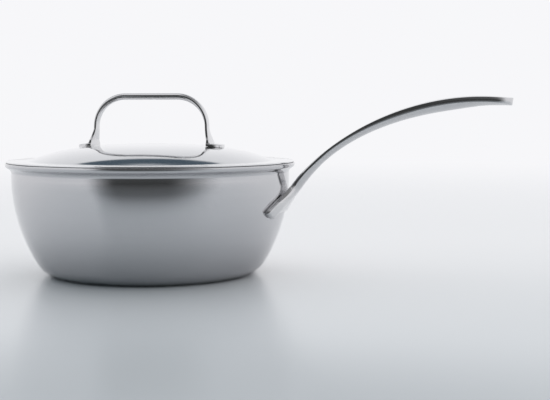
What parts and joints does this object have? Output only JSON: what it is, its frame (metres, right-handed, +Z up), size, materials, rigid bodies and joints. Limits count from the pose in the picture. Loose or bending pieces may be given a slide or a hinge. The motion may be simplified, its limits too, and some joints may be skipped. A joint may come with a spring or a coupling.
{
  "type": "saucier with lid",
  "caption": "Round-sided stainless saucier with a flared pouring lip, a long upswept handle on welded feet, and a domed lift-off lid with an arched handle.",
  "frame": {"origin": "middle of the flat base, on the table", "axes": "+Z up along the pan's axis, +X out along the long handle, +Y to the handle's left"},
  "size_m": [0.434, 0.25, 0.1563],
  "materials": {
    "outer_shell": "satin",
    "aluminium_core": "matte",
    "inner_liner": "satin",
    "pan_handle": "polished",
    "lid_shell": "polished",
    "lid_handle": "polished",
    "weld": "matte"
  },
  "bodies": {
    "pan": {"outer_shell": "outer_shell", "aluminium_core": "aluminium_core", "inner_liner": "inner_liner", "pan_handle": "pan_handle", "handle_weld_left": "weld", "handle_weld_right": "weld"},
    "lid": {"lid_shell": "lid_shell", "lid_handle": "lid_handle", "lid_weld_left": "weld", "lid_weld_right": "weld"}
  },
  "joints": [
    {"name": "lid_lift", "type": "slide", "parent": "pan", "child": "lid", "axis": [0, 0, 1], "range_m": [0, 0.15]}
  ]
}
